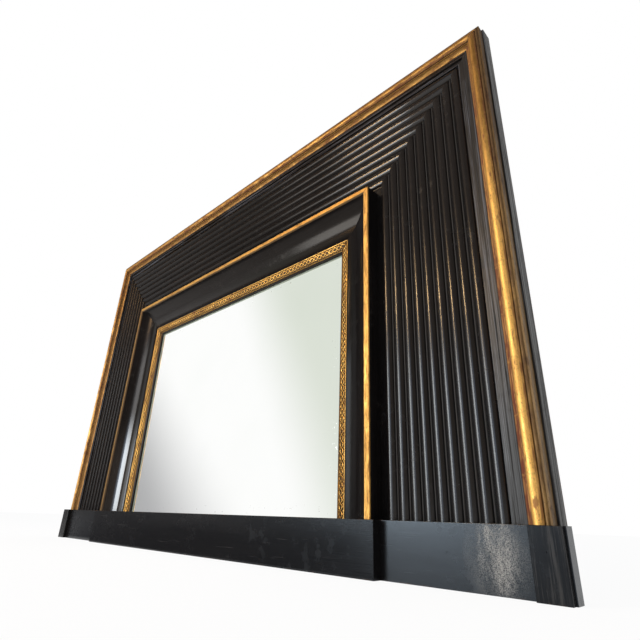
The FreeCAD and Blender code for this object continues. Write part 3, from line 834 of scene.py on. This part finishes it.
class MIRROR_OT_ebonise(bpy.types.Operator):
    """Finish the dark boards, the inner frame, the sight slips and the plinth"""

    bl_idname = "mirror.ebonise"
    bl_label = "Ebonise the dark wood"

    def execute(self, context):
        # Painted light: the sheen is tinged warm on the left and top, as by the warm lamp, and left plain on
        # the right.
        light_tints = {"left": (1.0, 0.87, 0.79), "right": WHITE, "top": (1.0, 0.86, 0.74)}
        reeds = {"left": {"roughness": 0.22, "polish": 0.2, "relief": 0.3},
                 "right": {"roughness": 0.17, "polish": 1.15, "relief": 0.15},
                 "top": {"roughness": 0.17, "polish": 0.28, "relief": 0.25,
                         "coat": ("X", 0.30, 0.50, 0.34)}}
        coves = {"left": {"polish": 0.28, "coat": ("Z", 0.37, 0.22, 0.75)},
                 "right": {"polish": 0.15},
                 "top": {"polish": 0.33}}
        for side, along in RUNS.items():
            light_tint = light_tints[side]
            board = ebonised(f"ebonised_reeds_{side}", along, reeds=True, light_tint=light_tint, **reeds[side])
            dress([f"reeded_board_{side}"], board)
            cove = ebonised(f"ebonised_cove_{side}", along, 0.13, relief=0.5, light_tint=light_tint, **coves[side])
            dress([f"cove_{side}"], cove)
            sight = ebonised(f"ebonised_sight_{side}", along, polish=0.5, light_tint=light_tint)
            dress([f"sight_slip_{side}"], sight)
        self.plinth()
        return {"FINISHED"}

    def plinth(self):
        """Finish the plinth's board, centre block and end blocks, each with its own dents."""
        wear = ((0.667, 0.042), (0.050, 0.062))
        dents = [((0.503, 0.036), 1.1 * MM), ((0.572, 0.036), 0.9 * MM), ((0.599, 0.044), 1.2 * MM),
                 ((0.659, 0.047), 1.3 * MM), ((-0.61, 0.030), 1.0 * MM), ((-0.55, 0.055), 0.9 * MM)]
        dress(["plinth_board"], plinth_finish("ebonised_section", wear, dents))
        dents = [((0.0, 0.057), 1.0 * MM), ((-0.109, 0.033), 1.3 * MM), ((0.196, 0.012), 1.1 * MM),
                 ((0.41, 0.05), 0.8 * MM), ((-0.37, 0.022), 0.9 * MM)]
        dress(["plinth_centre_block"], plinth_finish("ebonised_centre", None, dents, 0.5))
        dents = [((sign * 0.73, 0.052), 0.9 * MM) for sign in SIDES.values()]
        dress(named("plinth_end_block"), plinth_finish("ebonised_ends", None, dents, 0.42, "Z"))


class MIRROR_OT_gild(bpy.types.Operator):
    """Finish the gilt torus and the flat gilt fillet"""

    bl_idname = "mirror.gild"
    bl_label = "Gild the mouldings"

    def execute(self, context):
        # Painted shade and light per side: duller leaf on the left fillet and brighter on the right torus,
        # as light falls on each side, with some grime.
        toruses = {"left": {"worn": 1.0, "side_dirt_and_shade": 0.05, "red": 0.17, "metal": 0.5, "tarnish": 0.45},
                   "right": {"worn": 0.6, "side_dirt_and_shade": -0.4, "red": 0.52, "metal": 0.64, "tarnish": 0.72},
                   "top": {"worn": 1.0, "side_dirt_and_shade": -0.1, "red": 0.12, "metal": 0.88, "tarnish": 0.1}}
        fillets = {"left": {"side_dirt_and_shade": 0.9, "matt": 0.37, "metal": LEAF_METAL},
                   "right": {"side_dirt_and_shade": 0.05, "matt": 0.6, "metal": 0.82},
                   "top": {"side_dirt_and_shade": 0.15, "matt": 0.42, "metal": 0.92}}
        leafed = {"left": 7.0 * MM, "right": 12.6 * MM, "top": 8.6 * MM}
        for side, along in RUNS.items():
            torus = gilded(f"gilt_torus_{side}", along, moulded=True, matt=0.5, **toruses[side])
            fillet = gilded(f"gilt_fillet_{side}", along, worn=0.2, rubbed_from=FLAT_FILLET + leafed[side],
                            **fillets[side])
            dress([f"gilt_torus_{side}"], torus)
            dress([f"gilt_fillet_{side}"], fillet)
        return {"FINISHED"}


class MIRROR_OT_carve(bpy.types.Operator):
    """Carve the leaf slips round the glass as real geometry"""

    bl_idname = "mirror.carve"
    bl_label = "Carve the leaf slips"

    def execute(self, context):
        carving = context.scene.mirror_carving
        section = SlipSection()
        rise = LEAF_TOP[1][2] - LEAF_TOP[1][0]
        for side, sign in SIDES.items():
            finish = gilded(f"gilt_leaf_{side}", "Z", worn=0.9, relief="recess")

            def place(distance, depth, along, sign=sign):
                return (sign * distance, depth, along)

            def limit(start, distance):
                return min(PLINTH_TOP + start, distance + rise)

            length = section.outer + rise - PLINTH_TOP
            rows, recess = slip_rows(section, carving, place, length, limit)
            if sign > 0:
                rows = [row[::-1] for row in rows]
                count = len(rows[0])
                recess = [value for start in range(0, len(recess), count)
                          for value in recess[start:start + count][::-1]]
            carve_slip(f"carved_slip_{side}", rows, recess, finish, f"leaf_slip_{side}")
        finish = gilded("gilt_leaf_top", "X", worn=0.9, relief="recess")

        def place_top(distance, depth, along):
            return (along, depth, distance + rise)

        def limit_top(start, distance):
            return max(-distance, min(distance, start - section.outer))

        rows, recess = slip_rows(section, carving, place_top, 2.0 * section.outer, limit_top)
        carve_slip("carved_slip_top", rows, recess, finish, "leaf_slip_top")
        return {"FINISHED"}


class MIRROR_OT_silver(bpy.types.Operator):
    """Finish the mirror plate"""

    bl_idname = "mirror.silver"
    bl_label = "Silver the plate"

    def execute(self, context):
        dress(["mirror_plate"], silvered())
        return {"FINISHED"}


class MIRROR_OT_back(bpy.types.Operator):
    """Finish the softwood of the back and nail its boards"""

    bl_idname = "mirror.back"
    bl_label = "Finish the back"

    def execute(self, context):
        upright = named("carcass_stile", "plate_block_left", "plate_block_right")
        level = named("carcass_top", "carcass_bottom", "plinth_core", "plate_block_top")
        dress(upright, softwood("pine_upright", "Z", 2.0))
        dress(level, softwood("pine_level", "X", 5.0))
        boards = sorted(named("backboard"))
        if not boards:
            raise RuntimeError("the packed model has no backboards")
        iron = old_metal("iron_nails", (0.10, 0.085, 0.075), (0.035, 0.022, 0.016), 0.7)
        for index, name in enumerate(boards):
            low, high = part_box(name)
            dress([name], softwood(f"pine_{name}", "Z", 3.0 + 1.7 * index, (low[0], high[0])))
            self.nail(name, iron)
        return {"FINISHED"}

    def nail(self, board, finish):
        """Drive cut nails along the top and the foot of one backboard."""
        low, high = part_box(board)
        width = high[0] - low[0]
        for row, z in (("foot", low[2] + NAIL_INSET), ("top", high[2] - NAIL_INSET)):
            for index, share in enumerate(NAIL_SHARES):
                place = (low[0] + width * share, high[1], z)
                self.nail_head(f"nail_{board}_{row}_{index + 1}", place, finish)

    def nail_head(self, name, place, finish):
        """A hand-cut rose head: a low faceted pyramid."""
        rows = []
        for radius, height in NAIL_RINGS:
            row = []
            for index in range(NAIL_SIDES):
                angle = 2.0 * math.pi * index / NAIL_SIDES
                x = place[0] + radius * MM * math.cos(angle)
                z = place[2] + radius * MM * math.sin(angle)
                row.append((x, place[1] + height * MM, z))
            rows.append(row[::-1])
        points = [point for row in rows for point in row]
        piece = make_piece(name, points, skin(rows), finish, crease=15.0)


class MIRROR_OT_hang(bpy.types.Operator):
    """Finish the hanging straps and their screws"""

    bl_idname = "mirror.hang"
    bl_label = "Finish the hangers"

    def execute(self, context):
        dress(named("hanger_strap"), old_metal("old_brass", (0.58, 0.40, 0.15), (0.20, 0.125, 0.05)))
        dress(named("hanger_screw"), old_metal("old_steel", (0.34, 0.32, 0.30), (0.10, 0.075, 0.06)))
        return {"FINISHED"}


class MIRROR_OT_stage(bpy.types.Operator):
    """Set the floor, the lamps, the world and the camera"""

    bl_idname = "mirror.stage"
    bl_label = "Set the stage"

    def execute(self, context):
        studio = context.scene.mirror_studio
        self.floor(studio)
        self.flag(studio)
        self.world(context.scene)
        self.lamps(studio)
        self.camera(context.scene, studio)
        context.scene.view_settings.view_transform = "Standard"
        return {"FINISHED"}

    def floor(self, studio):
        """A pale floor that shows as white and keeps the object's shadow."""
        material = bpy.data.materials.new("studio_floor")
        bench = empty_bench(material)
        matte = bench.node("ShaderNodeBsdfDiffuse", None, {"Color": tuple(studio.floor_tone)})
        glow = bench.node("ShaderNodeEmission", None, {"Color": WHITE, "Strength": 1.0})
        floor = bench.node("ShaderNodeMixShader", None, {0: bench.seen() * FLOOR_GLOW, 1: matte, 2: glow})
        bench.node("ShaderNodeOutputMaterial", None, {0: floor}, None)
        corners = [(x * FLOOR_REACH, y * FLOOR_REACH, 0.0) for x, y in ((-1, -1), (1, -1), (1, 1), (-1, 1))]
        self.card("studio_floor", corners, [(0, 1, 2, 3)], material)

    def flag(self, studio):
        """A folded dark card before the plinth, seen only in reflections: one leaf lies, one stands."""
        material = bpy.data.materials.new("dark_card")
        bench = empty_bench(material)
        tone = bench.node("ShaderNodeEmission", None, {"Color": tuple(studio.flag_tone), "Strength": 1.0})
        bench.node("ShaderNodeOutputMaterial", None, {0: tone}, None)
        near = CENTRE_BLOCK[0][1] - CARD_GAP
        high = PLINTH_TOP - CARD_LIFT
        points = [(CENTRE_BLOCK[1][0], near, CARD_LIFT), (CARD_RIGHT, CARD_FAR, CARD_LIFT),
                  (CARD_LEFT, CARD_FAR, CARD_LIFT), (SECTION[0][0], near, CARD_LIFT),
                  (CARD_RIGHT, CARD_FAR, high), (CARD_LEFT, CARD_FAR, high)]
        flag = self.card("dark_card", points, [(0, 1, 2, 3), (1, 4, 5, 2)], material)
        flag.visible_camera = False
        flag.visible_diffuse = False
        flag.visible_shadow = False

    def card(self, name, points, faces, material):
        """A sheet of the stage."""
        mesh = bpy.data.meshes.new(name)
        mesh.from_pydata(points, [], faces)
        mesh.materials.append(material)
        card = bpy.data.objects.new(name, mesh)
        bpy.context.scene.collection.objects.link(card)
        return card

    def world(self, scene):
        """White for the camera, an even light for all, and a room with one pale wall for reflections."""
        world = bpy.data.worlds.new("studio_world")
        bench = empty_bench(world, "Generated")
        east, north, up = (bench.axes[letter] for letter in "XYZ")
        ahead = (0 - north).larger(0.05)
        left = (0 - east) / ahead
        rise = up / ahead
        wall = bench.blend((left - rise * 0.5).rise(1.08, 0.72), WHITE, WALL_GREEN)
        wall = bench.blend((left - rise * 1.1).rise(1.2, 1.95), wall, WALL_SHADE)
        on_wall = left.band(*WALL_LEFT, 0.04) * rise.band(*WALL_RISE, 0.04)
        room = bench.blend(left.rise(1.9, 2.3), ROOM_WARM, ROOM_DARK)
        panel = left.band(*PANEL_LEFT, 0.09) * rise.band(*PANEL_RISE, 0.08)
        room = bench.blend(panel, room, PANEL_LIGHT)
        room = bench.blend(on_wall, room, wall)
        room = bench.blend(north.rise(-0.12, 0.2) * up.rise(0.8, 0.5), room, WHITE)
        camera = bench.node("ShaderNodeLightPath", output="Is Camera Ray")
        shown = bench.node("ShaderNodeBackground", None, {0: bench.blend(camera, room, WHITE)})
        lit = bench.node("ShaderNodeBackground", None, {0: AMBIENT, 1: AMBIENT_STRENGTH})
        both = bench.node("ShaderNodeMixShader", None, {0: bench.seen(), 1: lit, 2: shown})
        bench.node("ShaderNodeOutputWorld", None, {0: both}, None)
        scene.world = world

    def lamps(self, studio):
        """A low window and a warmer lamp above it."""
        self.lamp("window", studio.key_power, colour=(0.90, 0.96, 1.0), size=(1.2, 1.3),
                  place=(-1.05, -2.6, 0.72), aim=(0.5, 0.0, 0.3))
        self.lamp("warm", studio.warm_power, colour=(1.0, 0.64, 0.30), size=(0.55, 0.2),
                  place=(-0.85, -2.6, 1.88), aim=(0.5, 0.0, 0.4))

    def lamp(self, name, power, colour, size, place, aim):
        """One rectangular lamp pointed at a target."""
        light = bpy.data.lights.new(name, "AREA")
        light.shape = "RECTANGLE"
        light.size, light.size_y = size
        light.energy = power
        light.color = colour
        lamp = bpy.data.objects.new(name, light)
        lamp.location = place
        direction = Vector(aim) - Vector(place)
        lamp.rotation_euler = direction.to_track_quat("-Z", "Y").to_euler()
        bpy.context.scene.collection.objects.link(lamp)

    def camera(self, scene, studio):
        """The photograph's viewpoint: low, to the right, turned left and tilted up."""
        data = bpy.data.cameras.new("camera")
        data.sensor_width = 36.0
        data.lens = studio.focal
        data.clip_start = 0.01
        camera = bpy.data.objects.new("camera", data)
        turn = Matrix.Rotation(studio.turn, 4, "Z")
        tilt = Matrix.Rotation(studio.tilt, 4, "X")
        roll = Matrix.Rotation(studio.roll, 4, "Y")
        upright = Matrix.Rotation(math.pi / 2, 4, "X")
        camera.matrix_world = Matrix.Translation(studio.eye) @ turn @ tilt @ roll @ upright
        scene.collection.objects.link(camera)
        scene.camera = camera


class MIRROR_PT_panel(bpy.types.Panel):
    """The mirror's operators and settings in the sidebar"""

    bl_idname = "MIRROR_PT_panel"
    bl_label = "Overmantel mirror"
    bl_space_type = "VIEW_3D"
    bl_region_type = "UI"
    bl_category = "Mirror"

    def draw(self, context):
        for operator in OPERATORS:
            self.layout.operator(operator.bl_idname)
        for pointer in GROUPS:
            group = getattr(context.scene, pointer)
            box = self.layout.box()
            for name in group.__annotations__:
                box.prop(group, name)


OPERATORS = (MIRROR_OT_ebonise, MIRROR_OT_gild, MIRROR_OT_carve, MIRROR_OT_silver, MIRROR_OT_back,
             MIRROR_OT_hang, MIRROR_OT_stage)
GROUPS = {"mirror_finishes": MirrorFinishes, "mirror_carving": MirrorCarving, "mirror_studio": MirrorStudio}


def register():
    """Register every class and hang the settings on the scene."""
    for cls in (*GROUPS.values(), *OPERATORS, MIRROR_PT_panel):
        bpy.utils.register_class(cls)
    for name, group in GROUPS.items():
        setattr(bpy.types.Scene, name, bpy.props.PointerProperty(type=group))


def unregister():
    """Take the settings and the classes away again."""
    for name in GROUPS:
        delattr(bpy.types.Scene, name)
    for cls in reversed((*GROUPS.values(), *OPERATORS, MIRROR_PT_panel)):
        bpy.utils.unregister_class(cls)


def main():
    """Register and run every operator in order."""
    register()
    bpy.ops.mirror.ebonise()
    bpy.ops.mirror.gild()
    bpy.ops.mirror.carve()
    bpy.ops.mirror.silver()
    bpy.ops.mirror.back()
    bpy.ops.mirror.hang()
    bpy.ops.mirror.stage()


if __name__ == "__main__":
    main()
